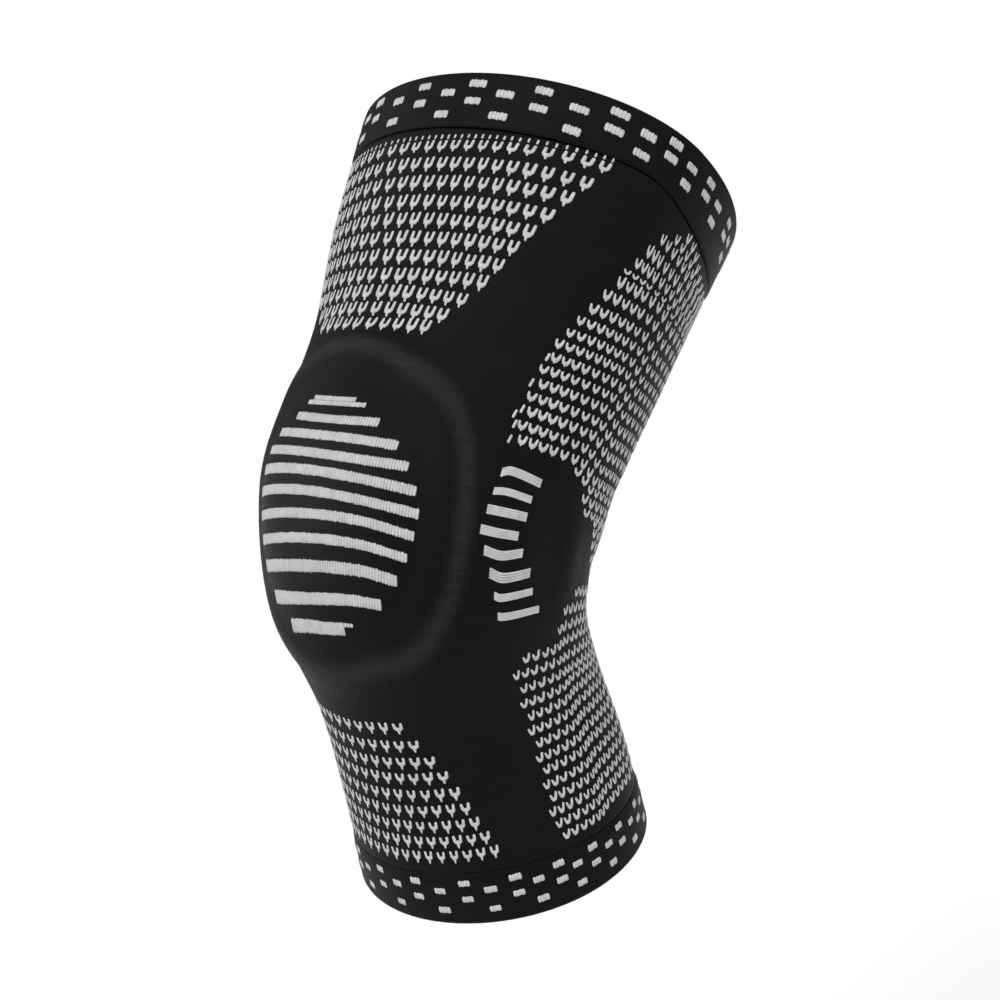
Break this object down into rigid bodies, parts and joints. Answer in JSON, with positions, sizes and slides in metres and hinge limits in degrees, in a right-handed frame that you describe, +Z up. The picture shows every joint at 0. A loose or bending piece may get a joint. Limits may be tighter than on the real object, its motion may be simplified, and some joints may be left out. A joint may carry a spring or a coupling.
{
  "type": "knee sleeve",
  "caption": "Knitted compression knee sleeve, a bent tapered tube with folded cuffs at both ends and a padded ring around the kneecap.",
  "frame": {"origin": "the middle of the knee inside the hollow, on the sleeve's middle line", "axes": "+Z up towards the thigh rim, -Y the way the kneecap faces, +X across the leg; the sleeve is the same on both sides of the YZ plane"},
  "size_m": [0.1586, 0.2056, 0.318],
  "materials": {
    "black_knit": "fine black rib knit with a soft sheen",
    "black_welt": "double black knit, folded at the rim",
    "gel_pad": "smooth matte silicone",
    "white_yarn": "grey-white yarn knitted into the black cloth"
  },
  "bodies": {
    "root": {"sleeve_body": "black_knit", "thigh_cuff": "black_welt", "calf_cuff": "black_welt", "kneecap_ring": "gel_pad"}
  },
  "joints": []
}
